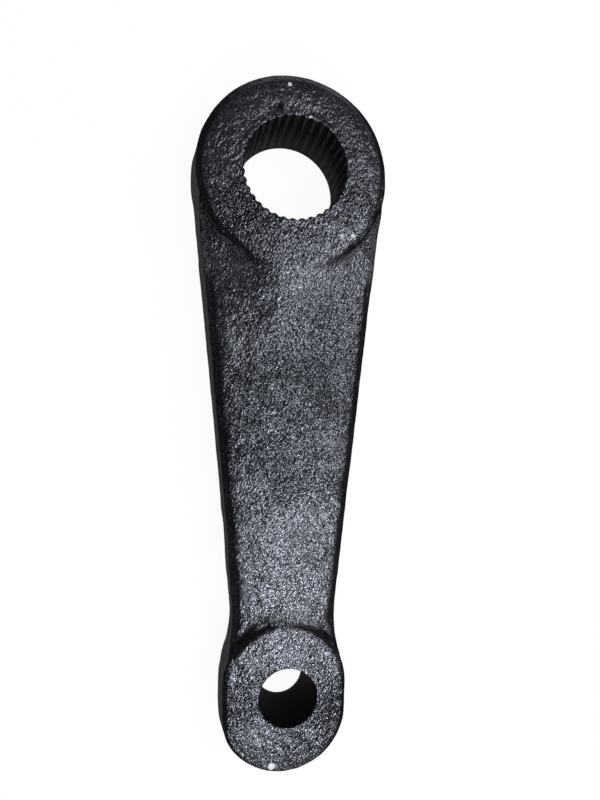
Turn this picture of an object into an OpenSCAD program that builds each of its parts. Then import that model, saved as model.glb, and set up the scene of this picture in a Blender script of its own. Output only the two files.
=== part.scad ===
// Steering pitman arm: a one-piece steel forging with a serrated taper bore in the big eye
// and a plain taper bore for a ball stud in the small eye.
// Millimetres. The serrated bore stands on the origin along Z, with the back face of both eyes
// at z = 0 and the nut face of the big eye on top. The arm runs towards -Y.

/* [Eyes] */

// Distance between the two bore axes
centre_distance = 230; // [200:1:280]
// Width of the big eye at the parting line
big_eye_d = 86; // [78:1:96]
// Height of the big eye from back face to nut face
big_eye_h = 42; // [36:1:50]
// Width of the small eye at the parting line
small_eye_w = 57; // [50:1:62]
// Length of the small eye along the arm at the parting line
small_eye_l = 66; // [62:1:74]
// Height of the small eye from back face to front face
small_eye_h = 33; // [30:1:38]
// How far the bores stand off the middle of the forging
bore_offset = 1.2; // [0:0.1:2]
// How far the serrated bore stands off the middle of the big eye, away from the arm
bore_shift = 1.6; // [0:0.1:3]

/* [Arm] */

// Angle of each long side to the middle line
side_angle = 5.9; // [5:0.1:6.6]
// Radius of the hollow neck above the small eye
neck_r = 66; // [50:1:80]
// Height of the parting line above the back face
parting_h = 18; // [15:0.5:20]
// Step from the nut face down to the arm at both sides of the big eye
big_step = 4.2; // [2:0.1:6]
// Length over which the arm's middle rises to the nut face
saddle_l = 52; // [40:1:64]
// Step from the front face down to the arm at both sides of the small eye
small_step = 3.4; // [2:0.1:6]
// Length over which the arm's middle rises towards the small eye
foot_l = 16; // [10:1:24]
// Step from the back faces up to the arm
back_step = 4; // [2:0.1:6]
// Fall of the arm's front from its middle to its edges at the big eye
crown = 1.2; // [0:0.1:3]
// Draft of all forged walls
draft_angle = 5; // [3:0.5:7]
// Round on the arm's edges
edge_r = 3; // [2.4:0.1:5]
// Round on the edges of both eyes
eye_edge_r = 2; // [1.6:0.1:3.4]
// Width of the hollow blend at the foot of each eye
blend_w = 2.5; // [2:0.5:6]

/* [Serrated bore] */

// Number of teeth
tooth_count = 36; // [24:1:48]
// Diameter over the tooth tips at the nut face
tip_d = 43.6; // [38:0.1:46]
// Depth of the teeth
tooth_depth = 0.8; // [0.6:0.1:1.8]
// Length over which the bore grows 1 mm in diameter
bore_taper = 16; // [12:1:24]
// Width of the shallow lead-in outside the teeth at the nut face
lead_in = 0.3; // [0.2:0.1:2]
// Depth of that lead-in
lead_depth = 0.7; // [0.3:0.1:1]
// Length of the plain ring behind the teeth
back_ring = 5.5; // [3:0.5:8]

/* [Ball stud bore] */

// Diameter at the front face
stud_d = 25.8; // [22:0.1:28]
// Length over which the bore shrinks 1 mm in diameter
stud_taper = 10; // [7:1:12]
// Width of the broken edges
stud_edge = 0.3; // [0.2:0.1:1.5]

/* [Hidden] */

$fn = 96;

// The sides and the neck run this far inside the eyes, so that they cross the eyes' walls.
bite = 0.4;
// Depth to which the arm's ends reach into the eyes.
root = 6;
draft = tan(draft_angle);
big_r = big_eye_d / 2;
small_r = small_eye_w / 2;
half_straight = (small_eye_l - small_eye_w) / 2;
eye_distance = centre_distance - bore_shift;
small_y = -eye_distance + half_straight;
side_r = big_r - bite;
end_r = small_r - bite;

// Unit vectors of the right side: outwards and along it towards the small eye.
out = [cos(side_angle), -sin(side_angle)];
along = [-sin(side_angle), -cos(side_angle)];

// Centre of the neck arc: it touches the side line and the small eye's inner circle.
neck_k = (side_r + neck_r) / cos(side_angle);
neck_t = tan(side_angle);
neck_a = 1 + neck_t * neck_t;
neck_b = 2 * neck_k * neck_t - 2 * small_y;
neck_c = neck_k * neck_k + small_y * small_y - (end_r + neck_r) * (end_r + neck_r);
neck_y = (-neck_b + sqrt(neck_b * neck_b - 4 * neck_a * neck_c)) / (2 * neck_a);
neck_x = neck_k + neck_t * neck_y;
neck = [neck_x, neck_y];
side_l = neck * along;
neck_from = 180 - side_angle;
neck_to = 180 + atan2(neck_y - small_y, neck_x);

// Stations along the arm: kind, place, bend of the row round the big eye and round the small eye.
row_gaps = [0, 0.5, 1.1, 1.9, 2.9, 4.2, 6, 9];
near_rows = [for (g = row_gaps) ["side", sqrt(2 * side_r * g + g * g), 1, 0]];
last_near = near_rows[len(near_rows) - 1][1];
mid_count = 9;
mid_rows = [for (i = [1 : mid_count - 1]) let (f = i / mid_count)
    ["side", last_near + (side_l - last_near) * f, max(0, 1 - f * 1.7), max(0, (f - 0.4) * 0.85)]];
neck_steps = [0, 0.14, 0.28, 0.38, 0.46, 0.53, 0.59, 0.65, 0.71, 0.79, 0.88, 0.95, 1];
neck_rows = [for (f = neck_steps) ["neck", f, 0, min(1, 0.55 + f * 2)]];
stations = concat([["in", 0, 1, 0]], near_rows, mid_rows, neck_rows, [["end", 1, 0, 1]]);

// Point of the right outline at one station, set in from the parting line.
function outline(s, inset) =
    s[0] == "in" ? (side_r - inset - root) * out :
    s[0] == "side" ? (side_r - inset) * out + s[1] * along :
    s[0] == "neck" ? neck + (neck_r + inset) * turn(neck_from + (neck_to - neck_from) * s[1]) :
    [0, small_y] + (end_r - inset - root) * turn(neck_to - 180);
function turn(a) = [cos(a), sin(a)];

// Heights from the parting line, for the front (up = true) and the back.
function eye_h(up, big) = up ? (big ? big_eye_h : small_eye_h) - parting_h : parting_h;
function step_h(up, big) = up ? (big ? big_step : small_step) : back_step;
function fall(up, v) = (up ? crown : 0.6) * (1 - 0.7 * v);
function share(y) = max(0, min(1, (-big_r - y) / (-small_y - small_r - big_r)));
function arm_h(up, u, y) = let (v = share(y))
    (eye_h(up, true) - step_h(up, true)) * (1 - v) + (eye_h(up, false) - step_h(up, false)) * v
    - fall(up, v) * u * u;

// Rise of the front along the arm's middle, which leads up to the nut face.
function saddle(up, u, gap) = let (near = max(0, 1 - max(0, gap) / saddle_l))
    up ? (big_step - 0.25) * near * near * pow(1 - u * u, 1.5) : 0;

// Lower rise of the same kind at the small eye.
function foot(up, u, gap) = let (near = max(0, 1 - max(0, gap) / foot_l))
    up ? 0.55 * small_step * near * near * pow(1 - u * u, 1.5) : 0;

// Hollow blend that lifts the arm's face towards an eye's wall.
function lift(t) = t >= 1 ? 0 : t >= 0 ? (1 - t) * (1 - t) : 1 - 2 * t;
function blend(gap, rise) = max(0, min(0.7 * rise, 0.45 * rise * lift(gap / blend_w)));
function face_h(up, u, p) =
    let (h = arm_h(up, u, p.y))
    let (to_big = norm(p) - big_r + h * draft)
    let (to_small = norm([p.x, p.y - small_y]) - small_r + h * draft)
    let (raised = h + saddle(up, u, to_big) + foot(up, u, to_small))
    raised + blend(to_big, eye_h(up, true) - raised) + blend(to_small, eye_h(up, false) - raised);

// Right edge at one station: from the parting line up the wall and over the round.
round_steps = [0, 15, 30, 45, 60, 75, 90];
function top_inset(h) = (h - edge_r) * draft + edge_r;
function edge_h(s, up) = face_h(up, 1, outline(s, top_inset(arm_h(up, 1, outline(s, 5).y))));
function edge_pts(s, up) =
    let (h = edge_h(s, up))
    let (base = h - edge_r)
    [for (a = round_steps)
        let (p = outline(s, base * draft + edge_r * (1 - cos(a))))
        [p.x, p.y, base + edge_r * sin(a)]];

// Row across the arm's face, bent round the eye it is near.
columns = 12;
function bend_y(s, x, e) =
    e.y + s[2] * (-sqrt(max(0, e.x * e.x + e.y * e.y - x * x)) - e.y)
    + s[3] * (small_y + sqrt(max(0, e.x * e.x + (e.y - small_y) * (e.y - small_y) - x * x)) - e.y);
function row_pts(s, up, e) = [for (i = [1 : columns - 1])
    let (u = 1 - 2 * i / columns)
    let (x = u * e.x)
    let (p = [x, bend_y(s, x, e)])
    [p.x, p.y, face_h(up, u, p)]];
function half_loop(s, up) =
    let (edge = edge_pts(s, up))
    let (n = len(edge))
    let (start = outline(s, 0))
    concat([[start.x, start.y, 0]], edge, row_pts(s, up, edge[n - 1]),
        [for (i = [n - 1 : -1 : 0]) [-edge[i].x, edge[i].y, edge[i].z]], [[-start.x, start.y, 0]]);
function loop(s) =
    let (front = half_loop(s, true))
    let (back = half_loop(s, false))
    let (n = len(front))
    concat([for (p = front) [p.x, p.y, parting_h + p.z]],
        [for (i = [n - 2 : -1 : 1]) [back[i].x, back[i].y, parting_h - back[i].z]]);

// The arm between the eyes, skinned from loop to loop.
module arm() {
    loops = [for (s = stations) loop(s)];
    n = len(loops[0]);
    half = n / 2;
    last = len(loops) - 1;
    skin = [for (k = [0 : last - 1], i = [0 : n - 1])
        [k * n + i, (k + 1) * n + i, (k + 1) * n + (i + 1) % n, k * n + (i + 1) % n]];
    big_end = concat([[1, n - 1, 0]], [for (i = [1 : half - 2]) [i, i + 1, n - i - 1, n - i]],
        [[half - 1, half, half + 1]]);
    small_end = [for (f = big_end) [for (i = [len(f) - 1 : -1 : 0]) last * n + f[i]]];
    polyhedron([for (l = loops, p = l) p], concat(skin, big_end, small_end));
}

// Half section of an eye: drafted both ways from the parting line, with rounded edges.
function corner(r, h, up) =
    let (base = h - eye_edge_r)
    [for (a = round_steps)
        [r - base * draft - eye_edge_r * (1 - cos(a)),
            parting_h + (up ? 1 : -1) * (base + eye_edge_r * sin(a))]];
function eye_section(r, h) =
    let (low = corner(r, parting_h, false))
    let (high = corner(r, h - parting_h, true))
    let (n = len(low))
    concat([[0, 0]], [for (i = [n - 1 : -1 : 0]) low[i]], [[r, parting_h]], high, [[0, h]]);

module big_eye() {
    rotate_extrude() polygon(eye_section(big_r, big_eye_h));
}

module small_eye() {
    section = eye_section(small_r, small_eye_h);
    translate([0, small_y, 0]) rotate_extrude(angle = 180) polygon(section);
    translate([0, -eye_distance - half_straight, 0]) rotate([0, 0, 180])
        rotate_extrude(angle = 180) polygon(section);
    translate([0, -eye_distance, 0]) rotate([90, 0, 0])
        linear_extrude(height = 2 * half_straight, center = true)
            polygon(concat(section, [for (i = [len(section) - 2 : -1 : 1]) [-section[i].x, section[i].y]]));
}

// Teeth with flat tips and roots, drawn at the back end where the bore is widest.
over = 1;
bore_l = big_eye_h + 2 * over;
front_r = tip_d / 2 - over / bore_taper / 2;
back_r = front_r + bore_l / bore_taper / 2;
function tooth(i) =
    let (pitch = 360 / tooth_count)
    let (k = back_r / (tip_d / 2))
    [for (c = [[-0.38, 0], [-0.12, 0], [0.14, 1], [0.36, 1]])
        (back_r + k * tooth_depth * c[1]) * turn((i + c[0]) * pitch)];

module serrated_bore() {
    root_r = tip_d / 2 + tooth_depth;
    back_root = root_r * back_r / front_r;
    translate([0, 0, -over])
        linear_extrude(height = bore_l, scale = front_r / back_r)
            polygon([for (i = [0 : tooth_count - 1], p = tooth(i)) p]);
    dish = (lead_in + tooth_depth) / lead_depth;
    translate([0, 0, big_eye_h - lead_depth])
        cylinder(r1 = tip_d / 2, r2 = root_r + lead_in + over * dish, h = lead_depth + over);
    // Plain ring that the shaft's teeth pass, closed by a cone that runs out under the bore's teeth.
    ring_r = back_root + 0.1;
    cone_l = tooth_depth + 0.4;
    cone_r = back_r - (back_ring + over) / bore_taper / 2 - 0.05;
    translate([0, 0, -over]) cylinder(r = ring_r, h = over + back_ring - cone_l);
    translate([0, 0, back_ring - cone_l]) cylinder(r1 = ring_r, r2 = cone_r, h = cone_l);
}

module stud_bore() {
    top_r = stud_d / 2 + over / stud_taper / 2;
    low_r = top_r - (small_eye_h + 2 * over) / stud_taper / 2;
    translate([0, -centre_distance, 0]) {
        translate([0, 0, -over]) cylinder(r1 = low_r, r2 = top_r, h = small_eye_h + 2 * over);
        translate([0, 0, small_eye_h - stud_edge])
            cylinder(r1 = stud_d / 2 - 0.1, r2 = stud_d / 2 + stud_edge + over, h = stud_edge + over);
        translate([0, 0, -over])
            cylinder(r1 = low_r + stud_edge + over, r2 = low_r - 0.1, h = stud_edge + over);
    }
}

module pitman_arm() {
    color([0.08, 0.08, 0.09]) difference() {
        translate([-bore_offset, -bore_shift, 0]) {
            arm();
            big_eye();
            small_eye();
        }
        serrated_bore();
        stud_bore();
    }
}

pitman_arm();
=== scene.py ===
import math

import bmesh
import bpy
from mathutils import Matrix, Vector, noise
from mathutils.kdtree import KDTree


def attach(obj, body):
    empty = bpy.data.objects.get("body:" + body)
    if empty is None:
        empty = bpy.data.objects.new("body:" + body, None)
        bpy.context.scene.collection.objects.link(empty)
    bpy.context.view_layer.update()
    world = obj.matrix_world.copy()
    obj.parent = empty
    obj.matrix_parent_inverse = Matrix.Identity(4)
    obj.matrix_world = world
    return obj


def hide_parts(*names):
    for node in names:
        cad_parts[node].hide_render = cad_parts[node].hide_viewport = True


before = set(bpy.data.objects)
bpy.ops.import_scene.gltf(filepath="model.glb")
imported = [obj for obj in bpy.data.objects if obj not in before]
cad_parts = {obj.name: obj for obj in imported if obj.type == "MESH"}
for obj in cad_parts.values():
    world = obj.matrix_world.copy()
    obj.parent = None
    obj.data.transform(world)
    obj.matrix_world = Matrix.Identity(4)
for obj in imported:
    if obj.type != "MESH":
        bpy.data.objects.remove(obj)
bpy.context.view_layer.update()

mm = 0.001
scene = bpy.context.scene
scene.view_settings.view_transform = "Standard"


# shader maths: a wire is one output socket, a finish is one material's or world's node tree
class Wire:
    def __init__(self, finish, socket):
        self.finish = finish
        self.socket = socket

    def maths(self, operation, *values):
        return self.finish.node("ShaderNodeMath", {"operation": operation}, dict(enumerate(values)))

    def __add__(self, other):
        return self.maths("ADD", self, other)

    def __radd__(self, other):
        return self.maths("ADD", other, self)

    def __sub__(self, other):
        return self.maths("SUBTRACT", self, other)

    def __rsub__(self, other):
        return self.maths("SUBTRACT", other, self)

    def __mul__(self, other):
        return self.maths("MULTIPLY", self, other)

    def __rmul__(self, other):
        return self.maths("MULTIPLY", other, self)

    def __pow__(self, other):
        return self.maths("POWER", self, other)

    def most(self, other):
        return self.maths("MAXIMUM", self, other)

    def unsigned(self):
        return self.maths("ABSOLUTE", self)

    def ease(self, low, high, start=0.0, end=1.0):  # smooth step from low to high
        sockets = {"Value": self, "From Min": low, "From Max": high, "To Min": start, "To Max": end}
        return self.finish.node("ShaderNodeMapRange", {"interpolation_type": "SMOOTHSTEP"}, sockets)


class Finish:
    def __init__(self, owner):
        owner.use_nodes = True
        self.tree = owner.node_tree
        self.tree.nodes.clear()

    def node(self, kind, settings=None, sockets=None, out=0):
        made = self.tree.nodes.new(kind)
        for name, value in (settings or {}).items():
            setattr(made, name, value)
        for name, value in (sockets or {}).items():
            if isinstance(value, Wire):
                self.tree.links.new(value.socket, made.inputs[name])
            else:
                made.inputs[name].default_value = value
        return Wire(self, made.outputs[out]) if made.outputs else None

    def place(self):  # millimetres in the part's own frame
        here = self.node("ShaderNodeTexCoord", out="Object")
        return self.node("ShaderNodeVectorMath", {"operation": "SCALE"}, {0: here, "Scale": 1 / mm})

    def axes(self, place):
        made = self.tree.nodes.new("ShaderNodeSeparateXYZ")
        self.tree.links.new(place.socket, made.inputs[0])
        return [Wire(self, out) for out in made.outputs]

    def grain(self, place, size, detail=2.0, rough=0.5):  # noise whose lumps are about size mm
        sockets = {"Vector": place, "Scale": 1 / size, "Detail": detail, "Roughness": rough}
        return self.node("ShaderNodeTexNoise", {"noise_dimensions": "3D"}, sockets)

    def away(self, place, point):  # distance from a point, in mm
        return self.node("ShaderNodeVectorMath", {"operation": "DISTANCE"}, {0: place, 1: point}, out="Value")

    def blend(self, share, first, second):  # by number, since the node has sockets of each kind
        return self.node("ShaderNodeMix", {"data_type": "RGBA"}, {0: share, 6: first, 7: second}, out=2)

    def bump(self, height):  # height in mm
        return self.node("ShaderNodeBump", sockets={"Strength": 1.0, "Distance": mm, "Height": height})


# the forging: CAD skin remeshed without its bores, roughened, then cut by the CAD's own bore walls
forgingIs = {
    "bores": [(0.0, 26.2 * mm), (-230.0 * mm, 14.2 * mm)],  # y of the axis, reach of its walls
    "boreLevel": 0.98,  # a face that looks up or down more than this is no wall
    "weld": 0.002 * mm,
    "plugMiddle": 15.0 * mm,  # height that tells a bore's two rims apart
    "plugSpare": 3.0 * mm,  # how far its plug stands out of either
    "voxel": 0.98 * mm,
    "smoothing": (4, 0.5, -0.53),  # rounds, then in and back out so that nothing shrinks
    "crease": math.radians(40),
}

# shape of its skin, in mm; a level is how far a face looks up, from 0 for a wall to 1
skinIs = {
    "swell": (26.0, 0.2),  # lump size and height
    "lumps": (11.0, 0.16),
    "trueFaces": (0.995, 0.6),  # level of a flat face, and the share of swell and lumps that it takes
    "coarse": (3.4, 0.10),
    "coarseStretch": 0.6,  # coarse lumps are longer along the arm
    "flashHeight": 18.0,  # parting line above the back
    "flash": (0.16, 1.3),  # how proud, half width
    "flashWander": (19.0, 0.5),  # length and height of its bends
    "flashRagged": (5.0, 0.6),  # length of its uneven stretches and how uneven
    "flashLevel": 0.6,  # most level of a wall that has it
    "pits": [  # place, reach, depth
        (-7.9, 25.8, 42.0, 1.5, 0.9),
        (-11.7, 25.9, 42.0, 1.2, 0.4),
        (-5.0, -100.8, 34.0, 1.5, 0.35),
        (-15.0, -63.4, 36.5, 1.6, 0.35),
    ],
    "pitEnd": 2.2,  # reaches from its middle at which a pit is gone
    "washer": (27.0, 1.3, 0.2),  # radius, width and depth of the washer's print on the nut face
    "nutFace": (0.9, 40.0),  # its least level and height
    "slump": (-28.0, -34.0, 9.0, 1.2),  # soft stretch of the big eye's rim: middle, reach, fall
    "slumpRise": (36.0, 4.0),  # height at which it starts, and over which it comes in
    "slumpFace": (0.3, 34.0),
    "shoulder": (8.0, 0.8),  # worn edges: reach from the wall and fall
    "shoulderEnd": -200.0,  # none at the small eye
    "upperWall": (0.5, 22.0),  # most level of a wall, and the height where its upper end starts
    "upperFace": 0.5,  # least level of a face that is worn
    "eyeCrown": (-230.0, 26.0, 0.65),  # small eye's face: y of the axis, reach and fall to its rim
    "eyeCrownEnds": (6.0, 30.5, 1.2),  # spare past the reach, lowest height, most reaches
    "leans": [  # uneven walls: the way they face, stretch of y, how proud
        ((1.0, 0.0), (-222.0, 2.0), 0.5),
        ((-1.0, 0.0), (-225.0, -160.0), 0.6),
        ((0.9, -0.43), (-55.0, 10.0), 0.45),
        ((-0.75, 0.66), (0.0, 60.0), 0.65),
        ((1.0, 0.0), (-260.0, -215.0), -0.5),
        ((-0.7, -0.71), (-290.0, -235.0), 1.2),
    ],
    "leanEase": 14.0,
}


def mergedCopy(name):
    shell = bmesh.new()
    shell.from_mesh(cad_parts[name].data)
    bmesh.ops.remove_doubles(shell, verts=shell.verts, dist=forgingIs["weld"])
    return shell


def boreOf(middle, normal, mostLevel):  # number of the bore whose wall this is
    if abs(normal.z) > mostLevel:
        return None
    for number, (axisY, reach) in enumerate(forgingIs["bores"]):
        if math.hypot(middle.x, middle.y - axisY) < reach:
            return number
    return None


def boreOfFace(face):
    return boreOf(face.calc_center_median(), face.normal, forgingIs["boreLevel"])


def openEdges(shell):
    return [edge for edge in shell.edges if edge.is_boundary]


def closed(shell):
    bmesh.ops.holes_fill(shell, edges=openEdges(shell), sides=0)
    bmesh.ops.recalc_face_normals(shell, faces=shell.faces)
    return shell


def toObject(shell, name):
    mesh = bpy.data.meshes.new(name)
    shell.to_mesh(mesh)
    shell.free()
    piece = bpy.data.objects.new(name, mesh)
    scene.collection.objects.link(piece)
    return piece


def settled(piece, kind, **settings):  # adds one modifier and applies it
    step = piece.modifiers.new(kind.lower(), kind)
    for name, value in settings.items():
        setattr(step, name, value)
    bpy.context.view_layer.update()
    made = piece.evaluated_get(bpy.context.evaluated_depsgraph_get())
    mesh = bpy.data.meshes.new_from_object(made)
    piece.modifiers.clear()
    old = piece.data
    piece.data = mesh
    bpy.data.meshes.remove(old)


def borePlug(number):
    plug = mergedCopy("pitman_arm")
    others = [face for face in plug.faces if boreOfFace(face) != number]
    bmesh.ops.delete(plug, geom=others, context="FACES")
    longer = bmesh.ops.extrude_edge_only(plug, edges=openEdges(plug))["geom"]
    spare = forgingIs["plugSpare"]
    for end in longer:
        if isinstance(end, bmesh.types.BMVert):
            end.co.z += spare if end.co.z > forgingIs["plugMiddle"] else -spare
    return toObject(closed(plug), "bore_plug_%d" % number)


def forgingBlank():
    blank = mergedCopy("pitman_arm")
    walls = [face for face in blank.faces if boreOfFace(face) is not None]
    bmesh.ops.delete(blank, geom=walls, context="FACES")
    piece = toObject(closed(blank), "forging")
    settled(piece, "REMESH", mode="VOXEL", voxel_size=forgingIs["voxel"], adaptivity=0.0, use_smooth_shade=True)
    return piece


def eased(share):
    share = min(1.0, max(0.0, share))
    return share * share * (3 - 2 * share)


def bell(off):
    return math.exp(-off * off)


def leanOf(spot, normal):  # how far an uneven wall stands out of its true place
    rise = 0.0
    for way, (low, high), proud in skinIs["leans"]:
        window = eased((spot.y - low) / skinIs["leanEase"]) * eased((high - spot.y) / skinIs["leanEase"])
        rise += proud * window * max(0.0, normal.xy.dot(Vector(way))) ** 3
    return rise


def flashOf(spot):  # trimmed flash along the parting line
    proud, halfWidth = skinIs["flash"]
    length, height = skinIs["flashWander"]
    wander = height * noise.noise(spot / length)
    off = (spot.z - skinIs["flashHeight"] - wander) / halfWidth
    length, uneven = skinIs["flashRagged"]
    return proud * bell(off) * (1 + uneven * noise.noise(spot / length))


def lumpsOf(spot, normal):
    faceLevel, faceShare = skinIs["trueFaces"]
    share = 1.0 if abs(normal.z) < faceLevel else faceShare
    rise = 0.0
    for size, height in (skinIs["swell"], skinIs["lumps"]):
        rise += share * height * noise.noise(spot / size)
    size, height = skinIs["coarse"]
    return rise + height * noise.noise(Vector((spot.x, skinIs["coarseStretch"] * spot.y, spot.z)) / size)


def pitsOf(spot):
    fall = 0.0
    for *pit, reach, depth in skinIs["pits"]:
        off = (spot - Vector(pit)).length / reach
        if off < skinIs["pitEnd"]:
            fall += depth * bell(off)
    return fall


def wearOf(vert, spot, walls):  # how far the upper faces and edges have sunk
    level, worn = vert.normal.z, 0.0
    leastLevel, leastHeight = skinIs["nutFace"]
    if level > leastLevel and spot.z > leastHeight:
        reach, width, depth = skinIs["washer"]
        worn += depth * eased((reach - spot.xy.length) / width + 0.5)
    leastLevel, leastHeight = skinIs["slumpFace"]
    if level > leastLevel and spot.z > leastHeight:
        slumpX, slumpY, reach, fall = skinIs["slump"]
        start, over = skinIs["slumpRise"]
        worn += fall * bell(math.hypot(spot.x - slumpX, spot.y - slumpY) / reach) * eased((spot.z - start) / over)
    if level > skinIs["upperFace"] and spot.y > skinIs["shoulderEnd"]:
        reach, fall = skinIs["shoulder"]
        worn += fall * max(0.0, 1 - walls.find(vert.co)[2] / mm / reach) ** 2
    axisY, reach, fall = skinIs["eyeCrown"]
    spare, floor, most = skinIs["eyeCrownEnds"]
    if level > skinIs["upperFace"] and spot.y < axisY + reach + spare and spot.z > floor:
        worn += fall * min(most, math.hypot(spot.x, spot.y - axisY) / reach) ** 2 * min(1.0, spot.z - floor)
    return worn


def wallTree(skin):  # upper ends of the walls, to tell how near an edge a spot is
    mostLevel, foot = skinIs["upperWall"]
    walls = [vert for vert in skin.verts if abs(vert.normal.z) < mostLevel and vert.co.z > foot * mm]
    tree = KDTree(len(walls))
    for number, vert in enumerate(walls):
        tree.insert(vert.co, number)
    tree.balance()
    return tree


def roughen(piece):
    skin = bmesh.new()
    skin.from_mesh(piece.data)
    rounds, inward, outward = forgingIs["smoothing"]
    for factor in (inward, outward) * rounds:
        bmesh.ops.smooth_vert(
            skin, verts=skin.verts, factor=factor, use_axis_x=True, use_axis_y=True, use_axis_z=True)
    skin.normal_update()
    walls = wallTree(skin)
    moves = []
    for vert in skin.verts:
        spot, normal = vert.co / mm, vert.normal
        rise = leanOf(spot, normal) + lumpsOf(spot, normal)
        if abs(normal.z) < skinIs["flashLevel"]:
            rise += flashOf(spot)
        rise -= pitsOf(spot) + wearOf(vert, spot, walls)
        moves.append(normal * rise * mm)
    for vert, move in zip(skin.verts, moves):
        vert.co += move
        vert.co.z = max(vert.co.z, 0.0)  # the back still lies flat
    skin.to_mesh(piece.data)
    skin.free()


forging = forgingBlank()
print("blank:", len(forging.data.polygons), "faces")
roughen(forging)
for number in range(len(forgingIs["bores"])):
    plug = borePlug(number)
    settled(forging, "BOOLEAN", operation="DIFFERENCE", object=plug, solver="MANIFOLD")
    bpy.data.objects.remove(plug)
forging.data.polygons.foreach_set("use_smooth", [True] * len(forging.data.polygons))
forging.data.set_sharp_from_angle(angle=forgingIs["crease"])
forging.data.calc_loop_triangles()
print("forging:", len(forging.data.loop_triangles), "triangles")


# grain of the paint, in mm: size and height
grainIs = {
    "askew": (0.0, 0.0, math.radians(-25)),  # grains and dents lie a little across the arm
    "grain": (0.52, 0.12),
    "grainStretch": (1.0, 1.4, 1.0),  # longer along the arm
    "dents": (1.05, 0.37),
    "dentStretch": (1.0, 1.9, 1.0),  # longer still
    "lumps": (4.2, 0.75),
    "rings": (1.3, 3.0, 0.34),  # marks round the serrated bore: width, length and height
    "ringRadius": 30.0,  # where that length is true
    "ringEnds": ((36.0, 42.0), (-18.0, 4.0), (4.0, 22.0)),  # where they fade out: radius, x, y
    "plainEnds": ((39.5, 41.0), (-18.0, 6.0)),  # smoother far half of the nut face: z, y
    "plainFall": 0.35,  # share of the height that is lost there
}


def stretched(paint, place, stretch):
    sockets = {"Vector": place, "Rotation": grainIs["askew"], "Scale": stretch}
    return paint.node("ShaderNodeMapping", {"vector_type": "TEXTURE"}, sockets)


def ringMarks(paint, x, y):
    width, length, height = grainIs["rings"]
    outer, right, far = grainIs["ringEnds"]
    radius = (x * x + y * y) ** 0.5
    turn = y.maths("ARCTAN2", y, x) * (grainIs["ringRadius"] / length)
    turned = paint.node("ShaderNodeCombineXYZ", sockets={"X": radius, "Y": turn})
    marks = paint.grain(turned, width, detail=1.0)
    return marks * (1 - radius.ease(*outer)) * (1 - x.ease(*right)) * (1 - y.ease(*far)) * height


# chips down to the pale primer, and pale specks, two of which are painted highlights
chipIs = {
    "primerAndHighlight": (0.62, 0.62, 0.57, 1),
    "chip": (-6.85, -259.4, 31.8),
    "chipReach": 1.5,
    "chipFade": 0.2,
    # the last two specks, on the big eye's lower right rim, are painted highlights
    "specks": [(-2.8, 35.2, 42.0), (6.4, 21.8, 42.0), (20.4, -28.5, 42.0), (25.3, -28.3, 42.0)],
    "speckReach": 0.85,
    "speckFade": 0.25,
    "speckCover": 0.8,
    "ragged": (1.1, 1.6),  # size and depth of the uneven rim
    "speckRagged": 0.5,  # share of that depth on a speck
}


def chipAndSpeckMask(paint, place):
    size, depth = chipIs["ragged"]
    rim = (paint.grain(place, size) - 0.5) * depth
    fade = chipIs["chipFade"]
    chip = 1 - (paint.away(place, chipIs["chip"]) + rim - chipIs["chipReach"]).ease(-fade, fade)
    fade, cover = chipIs["speckFade"], chipIs["speckCover"]
    for speck in chipIs["specks"]:
        off = paint.away(place, speck) + chipIs["speckRagged"] * rim - chipIs["speckReach"]
        chip = chip.most(cover - cover * off.ease(-fade, fade))
    return chip


# walls and rounded edges, where the paint is dull; the rounded edges go near-black as painted shade; pairs are
# where a share starts and is full
flankIs = {
    "upright": (0.12, 0.4),  # how level a wall is at most
    "edge": (0.6, 0.95),  # and a rounded edge, which gets painted shade
    "right": (0.16, 0.4),  # how far an edge faces right, which gets more painted shade
    "left": (0.08, 0.3),  # or left
    "litFarRim": ((0.3, 0.9), (10.0, 30.0)),  # big eye's far rim, spared the painted shade as painted light, since light falls on it from behind: facing, y
    "valley": ((-50.0, -40.0), (38.5, 40.5)),  # hollows below the big eye's rim, which get less painted shade: y, z
    "valleyShoulder": 0.85,  # share of the edges' painted shade that the hollows are spared
    "valleyLevel": (0.6, 0.85),
    "valleySpare": 0.5,
    "valleyGlance": 0.8,  # share of gloss lost at a glance in the hollows
    "glance": (0.25, 0.6),
    "shine": 0.14,  # share of gloss left on rounded edges
    "wallShine": 0.45,  # and more of it on the walls
}


def flankGloss(paint, place):  # gives the walls, and the share of gloss kept all over, which leaves the edges dull as painted shade
    y, z = paint.axes(place)[1:]
    across, along, level = paint.axes(paint.node("ShaderNodeTexCoord", out="Normal"))
    level = level.unsigned()
    upright = 1 - level.ease(*flankIs["upright"])
    farFacing, farEnds = flankIs["litFarRim"]
    litFarRim = along.ease(*farFacing) * y.ease(*farEnds)
    lowerEnds, rimEnds = flankIs["valley"]
    valley = y.ease(*lowerEnds) * (1 - z.ease(*rimEnds))
    shoulder = across.ease(*flankIs["right"]).most((0 - across).ease(*flankIs["left"]))
    shoulder = shoulder * (1 - flankIs["valleyShoulder"] * valley)
    # painted shade: rounded edges, and edges that face right or left, lose their gloss and turn near-black; the
    # big eye's far rim keeps it as painted light
    edgeShade = (1 - level.ease(*flankIs["edge"])).most(shoulder) * (1 - litFarRim)
    edgeShade = edgeShade * (1 - flankIs["valleySpare"] * valley * level.ease(*flankIs["valleyLevel"]))
    facing = paint.node("ShaderNodeLayerWeight", sockets={"Blend": 0.5}, out="Facing")
    glancing = facing.ease(*flankIs["glance"])
    kept = (flankIs["shine"] + flankIs["wallShine"] * upright) * (1 - glancing)
    return upright, (1 - edgeShade * (1 - kept)) * (1 - flankIs["valleyGlance"] * valley * glancing)
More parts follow.
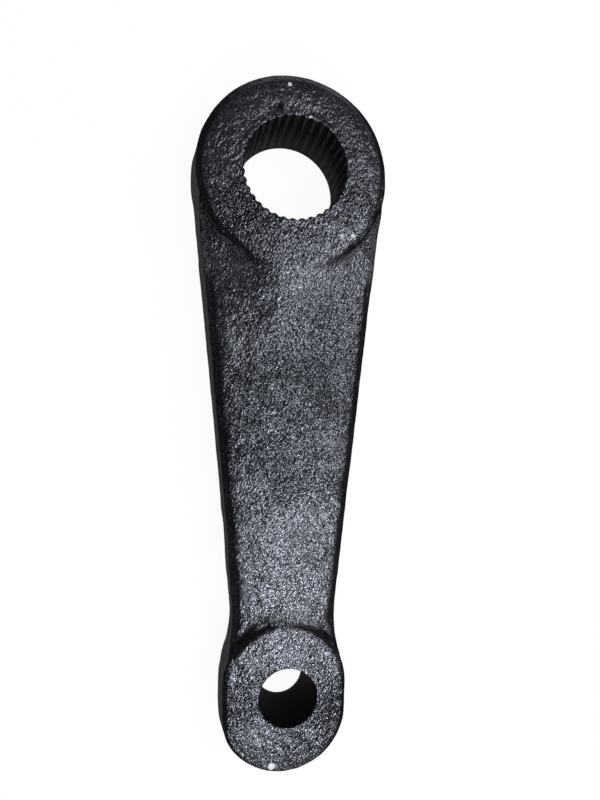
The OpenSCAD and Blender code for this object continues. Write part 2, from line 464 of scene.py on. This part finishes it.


# gloss of the grains, with painted light and shade in patches, duller paint in the pits, and painted shade in the
# small eye's corner
glossIs = {
    "mix": (0.78, 0.22),  # shares of the grains and the dents
    "cloud": (16.0, 0.2),  # slow patches of more and fewer pores: size, share
    "ends": (0.42, 0.56),  # from the dull feet of the grains to their glossy crests
    "feet": 0.06,  # gloss at the feet
    "plain": (0.4, 0.5),  # even gloss of the nut face's far half, and its share
    "litAndShadedPatches": [  # painted shade (-) and painted light (+), as duller and glossier stretches: place, reach, amount
        (-27.0, -18.0, 42.0, 14.0, -0.09),
        (12.0, -34.0, 42.0, 18.0, 0.05),
        (22.0, 24.0, 42.0, 12.0, 0.03),
        (-30.0, -39.0, 38.0, 10.0, 0.05),
        (17.0, -88.0, 36.0, 15.0, -0.05),
        (-21.0, -120.0, 34.0, 34.0, -0.045),
        (2.0, -180.0, 31.0, 36.0, 0.055),
        (21.0, -234.0, 33.0, 13.0, -0.065),
        (-20.0, -230.0, 33.0, 10.0, -0.04),
        (0.0, -204.0, 33.0, 9.0, 0.03),
        (-13.0, -248.0, 33.0, 9.0, 0.05),
        (30.0, -44.0, 37.0, 10.0, 0.06),
    ],
    "patchFade": (0.2, 1.7),  # shares of the reach where a painted patch starts to fade and is gone
    "pitEnds": (0.4, 1.3),  # and a pit's dullness
    "corner": (-1.2, -230.0),  # painted shade in the corner at the small eye's foot: middle of its arc
    "cornerRadii": (29.8, 31.2, 31.9, 33.4),  # where it starts, is full, thins and ends
    "cornerStart": (-222.0, -208.0),
    "cornerShade": (3.0, 13.0, 0.6, 0.85),  # off the middle line from and to, painted shade there
}


def grainGloss(paint, place, grain, dents, plain):
    grainShare, dentShare = glossIs["mix"]
    size, cloudShare = glossIs["cloud"]
    cloud = paint.grain(place, size, rough=0.6)
    cover = grainShare * grain + dentShare * dents + cloudShare * (cloud - 0.5)
    # painted light and shade: glossier and duller patches
    starts, ends = glossIs["patchFade"]
    for *spot, reach, amount in glossIs["litAndShadedPatches"]:
        cover = cover + paint.away(place, spot).ease(starts * reach, ends * reach, amount, 0.0)
    speckle = cover.ease(*glossIs["ends"], glossIs["feet"], 1.0)
    even, share = glossIs["plain"]
    return speckle + (even - speckle) * (share * plain)


def cornerShadeAndDullPits(paint, place):  # gloss left by duller paint in the pits and by painted shade in the small eye's corner
    x, y = paint.axes(place)[:2]
    middleX, middleY = glossIs["corner"]
    aside = x - middleX
    radius = (aside ** 2 + (y - middleY) ** 2) ** 0.5
    starts, full, thins, ends = glossIs["cornerRadii"]
    # painted shade in the corner at the small eye's foot
    corner = radius.ease(starts, full) * (1 - radius.ease(thins, ends)) * y.ease(*glossIs["cornerStart"])
    left = 1 - corner * aside.unsigned().ease(*glossIs["cornerShade"])
    starts, ends = glossIs["pitEnds"]
    for *pit, reach, depth in skinIs["pits"]:
        left = left * paint.away(place, pit).ease(starts * reach, ends * reach, 1 - depth, 1.0)
    return left


# black paint over the forged skin
paintIs = {
    "colour": (0.016, 0.0162, 0.0175, 1),
    "rubbedAndGlint": (0.070, 0.072, 0.080, 1),  # where the crests have rubbed, and lighter also as painted glints
    "flecks": (0.9, 0.56, 0.70),  # rubbed crests and painted glints: size, noise where they start and are full
    "patches": 34.0,  # size of more and less rubbed stretches, with more and fewer painted glints
    "patchEnds": (0.3, 0.7, 0.5, 1.0),  # noise from and to, share of flecks there
    "roughness": (0.20, 0.30),
    "specular": 1.0,
    "tint": (0.91, 0.94, 1.0, 1),
    "dull": (0.0035, 0.0036, 0.0044, 1),  # between the grains, and on the edges as painted shade
    "wallDustAndSheen": (0.068, 0.067, 0.067, 1),  # on the walls: dust, and painted sheen where the walls would catch light
    "dustAndSheenShare": (0.4, 0.6),  # even dust and sheen, and dust and sheen that follow the dents
    "dullRoughness": 0.72,
    "dullSpecular": 0.0,
}


def blackPaint():
    material = bpy.data.materials.new("black_paint")
    paint = Finish(material)
    place = paint.place()
    x, y, z = paint.axes(place)

    grainSize, grainHeight = grainIs["grain"]
    grain = paint.grain(stretched(paint, place, grainIs["grainStretch"]), grainSize, detail=1.0, rough=0.6)
    dentSize, dentHeight = grainIs["dents"]
    dents = paint.grain(stretched(paint, place, grainIs["dentStretch"]), dentSize, detail=1.0)
    lumpSize, lumpHeight = grainIs["lumps"]
    lumps = paint.grain(place, lumpSize)
    nutFace, farHalf = grainIs["plainEnds"]
    plain = z.ease(*nutFace) * y.ease(*farHalf)
    height = grain * grainHeight + dents * dentHeight + lumps * lumpHeight
    bump = paint.bump(height * (1 - grainIs["plainFall"] * plain) + ringMarks(paint, x, y))

    fleckSize, fleckStart, fleckFull = paintIs["flecks"]
    flecks = paint.grain(place, fleckSize, detail=1.0)
    patches = paint.grain(place, paintIs["patches"], detail=3.0, rough=0.6)
    # flecks that are partly rubbed crests, partly painted glints
    crestAndGlint = flecks.ease(fleckStart, fleckFull) * patches.ease(*paintIs["patchEnds"])
    # chip gathers the primer chip and the pale specks, two of which are painted highlights
    chip = chipAndSpeckMask(paint, place)
    colour = paint.blend(chip, paint.blend(crestAndGlint, paintIs["colour"], paintIs["rubbedAndGlint"]), chipIs["primerAndHighlight"])
    upright, kept = flankGloss(paint, place)
    evenDustAndSheen, dentDustAndSheen = paintIs["dustAndSheenShare"]
    # dust and painted sheen lighten the walls
    shadeDustAndSheen = paint.blend(upright * (evenDustAndSheen + dentDustAndSheen * dents), paintIs["dull"], paintIs["wallDustAndSheen"])

    low, high = paintIs["roughness"]
    gloss = paint.node("ShaderNodeBsdfPrincipled", sockets={
        "Base Color": colour, "Roughness": low + (high - low) * patches, "Normal": bump,
        "Specular IOR Level": paintIs["specular"], "Specular Tint": paintIs["tint"]})
    # the dull finish: painted shade on the edges, dust and painted sheen on the walls
    dull = paint.node("ShaderNodeBsdfPrincipled", sockets={
        "Base Color": paint.blend(chip, shadeDustAndSheen, chipIs["primerAndHighlight"]), "Roughness": paintIs["dullRoughness"],
        "Normal": bump, "Specular IOR Level": paintIs["dullSpecular"]})
    shine = grainGloss(paint, place, grain, dents, plain) * kept * cornerShadeAndDullPits(paint, place)
    shader = paint.node("ShaderNodeMixShader", sockets={0: shine, 1: dull, 2: gloss})
    paint.node("ShaderNodeOutputMaterial", sockets={"Surface": shader})
    return material


# bare steel inside the bores, under a film of oil; its near-black colour and faint reflection are painted shade
boreIs = {
    # near-black: painted shade inside the bores
    "colour": (0.0028, 0.0026, 0.0026, 1),
    "worn": (0.008, 0.0076, 0.0074, 1),
    "wornEnds": (0.45, 0.7),  # noise where it starts and is full
    "cloud": 7.0,
    "marks": (0.9, 0.05),  # size and height in mm
    "drawn": (1.0, 1.0, 0.16),  # broach marks run along the bore
    "wallLevel": 0.6,  # a wall looks up or down no more than this
    "roughness": (0.62, 0.76),
    "specular": 0.02,
    "tips": (21.8, 42.0, 1 / 32),  # serration's tooth tips: radius, at this height, widening per mm below
    "tipDepth": (0.02, 0.2),  # how far behind the tips they stop being bare
    "tipMarks": (0.3, 0.6),
    "tipColour": (0.024, 0.0235, 0.023, 1),  # bare metal where the shaft has rubbed; the lighter tips also paint light on the serration as streaks
}


def boreSteelInShade():
    material = bpy.data.materials.new("bore_steel_in_shade")
    steel = Finish(material)
    place = steel.place()
    size, height = boreIs["marks"]
    drawn = steel.node("ShaderNodeMapping", {"vector_type": "POINT"}, {"Vector": place, "Scale": boreIs["drawn"]})
    marks = steel.grain(drawn, size)
    cloud = steel.grain(place, boreIs["cloud"], detail=3.0, rough=0.6)
    colour = steel.blend(cloud.ease(*boreIs["wornEnds"]) * marks, boreIs["colour"], boreIs["worn"])
    x, y, z = steel.axes(place)
    tipRadius, tipHeight, widening = boreIs["tips"]
    depth = (x * x + y * y) ** 0.5 - tipRadius - (tipHeight - z) * widening
    # lighter tooth tips: worn bare metal, and painted light as streaks along the serration
    tips = (1 - depth.ease(*boreIs["tipDepth"])) * marks.ease(*boreIs["tipMarks"])
    low, high = boreIs["roughness"]
    shader = steel.node("ShaderNodeBsdfPrincipled", sockets={
        "Base Color": steel.blend(tips, colour, boreIs["tipColour"]),
        "Roughness": low + (high - low) * cloud,
        "Normal": steel.bump(marks * height),
        "Specular IOR Level": boreIs["specular"]})
    steel.node("ShaderNodeOutputMaterial", sockets={"Surface": shader})
    return material


forging.data.materials.clear()
forging.data.materials.append(blackPaint())
forging.data.materials.append(boreSteelInShade())
inBore = [int(boreOf(face.center, face.normal, boreIs["wallLevel"]) is not None) for face in forging.data.polygons]
forging.data.polygons.foreach_set("material_index", inBore)
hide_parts("pitman_arm")
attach(forging, "root")
print("paint: on the forging")


# floor, lamps and world
stageIs = {
    "floorSize": 6.0,
    "floorDrop": -0.15 * mm,
    "floor": (0.9, 0.9, 0.9, 1),
    "white": (1, 1, 1, 1),
    "whiteShare": 0.95,  # the rest keeps the shadow
    "ceiling": (0.045, 0.045, 0.047, 1),
    "horizon": (1.0, 1.0, 1.0, 1),
    "horizonEnds": (0.33, 0.56),  # sine of the height where the pale wall starts to fade and is gone
    "lamps": [  # place, aim, size, watts, colour
        ((0.25, -0.62, 1.23), (0.0, -0.17, 0.03), 0.20, 8.7, (0.94, 0.97, 1.07)),
        ((0.38, 0.06, 1.25), (0.0, -0.06, 0.03), 0.24, 3.3, (0.95, 0.97, 1.06)),
        ((0.46, 0.28, 1.25), (0.0, 0.02, 0.03), 0.20, 2.3, (0.95, 0.97, 1.06)),
        ((0.68, -0.02, 1.12), (0.0, -0.05, 0.03), 0.35, 1.9, (0.95, 0.97, 1.06)),
        ((-0.04, -1.02, 1.12), (0.0, -0.24, 0.03), 0.20, 2.6, (0.94, 0.97, 1.07)),
        ((0.0, -0.10, 1.35), (0.0, -0.10, 0.0), 1.5, 1.2, (0.96, 0.98, 1.05)),
    ],
}


def makeFloor():
    ground = bmesh.new()
    bmesh.ops.create_grid(ground, x_segments=4, y_segments=4, size=stageIs["floorSize"] / 2)
    bmesh.ops.translate(ground, verts=ground.verts, vec=(0, 0, stageIs["floorDrop"]))
    floor = toObject(ground, "floor")
    material = bpy.data.materials.new("pale_floor")
    pale = Finish(material)
    seen = pale.node("ShaderNodeLightPath", out="Is Camera Ray")
    shiny = pale.node("ShaderNodeLightPath", out="Is Glossy Ray")
    through = pale.node("ShaderNodeLightPath", out="Is Transmission Ray")
    lit = pale.node("ShaderNodeBsdfDiffuse", sockets={"Color": stageIs["floor"]})
    white = pale.node("ShaderNodeEmission", sockets={"Color": stageIs["white"], "Strength": 1.0})
    share = seen.most(shiny).most(through) * stageIs["whiteShare"]
    both = pale.node("ShaderNodeMixShader", sockets={0: share, 1: lit, 2: white})
    pale.node("ShaderNodeOutputMaterial", sockets={"Surface": both})
    floor.data.materials.append(material)


def makeLamps():
    for number, (place, aim, size, watts, colour) in enumerate(stageIs["lamps"]):
        light = bpy.data.lights.new("softbox_%d" % number, "AREA")
        light.shape, light.size, light.energy, light.color = "SQUARE", size, watts, colour
        lamp = bpy.data.objects.new("softbox_%d" % number, light)
        lamp.location = place
        lamp.rotation_euler = (Vector(aim) - Vector(place)).to_track_quat("-Z", "Y").to_euler()
        scene.collection.objects.link(lamp)


def makeWorld():
    world = bpy.data.worlds.new("room")
    scene.world = world
    room = Finish(world)
    height = room.axes(room.node("ShaderNodeTexCoord", out="Generated"))[2]
    colour = room.blend(height.ease(*stageIs["horizonEnds"]), stageIs["horizon"], stageIs["ceiling"])
    sky = room.node("ShaderNodeBackground", sockets={"Color": colour, "Strength": 1.0})
    room.node("ShaderNodeOutputWorld", sockets={"Surface": sky})


makeFloor()
makeLamps()
makeWorld()
print("stage: floor, lamps and world")


# camera over the arm, a little left of it, looking down and slightly right
cameraIs = {
    "place": (-42.91 * mm, -101.97 * mm, 315.56 * mm),
    "yaw": 0.1652,
    "pitch": 0.009,
    "roll": -0.0088,
    "sensor": 36.0,
    "focalPixels": 651.2,
    "imageHeight": 800,
    "clip": (0.01, 50.0),
}


def makeCamera():
    yaw, pitch, roll = cameraIs["yaw"], cameraIs["pitch"], cameraIs["roll"]
    look = Vector((math.sin(yaw), 0, -math.cos(yaw)))
    side = Vector((math.cos(yaw), 0, math.sin(yaw)))
    north = Vector((0, 1, 0))
    ahead = math.sin(pitch) * north + math.cos(pitch) * look
    above = math.cos(pitch) * north - math.sin(pitch) * look
    right = math.cos(roll) * side - math.sin(roll) * above
    top = math.sin(roll) * side + math.cos(roll) * above
    lens = bpy.data.cameras.new("camera")
    lens.sensor_fit, lens.sensor_width = "AUTO", cameraIs["sensor"]
    lens.lens = cameraIs["sensor"] * cameraIs["focalPixels"] / cameraIs["imageHeight"]
    lens.clip_start, lens.clip_end = cameraIs["clip"]
    camera = bpy.data.objects.new("camera", lens)
    turned = Matrix((right, top, -ahead)).transposed().to_4x4()
    camera.matrix_world = Matrix.Translation(cameraIs["place"]) @ turned
    scene.collection.objects.link(camera)
    scene.camera = camera


makeCamera()
print("camera: in place")
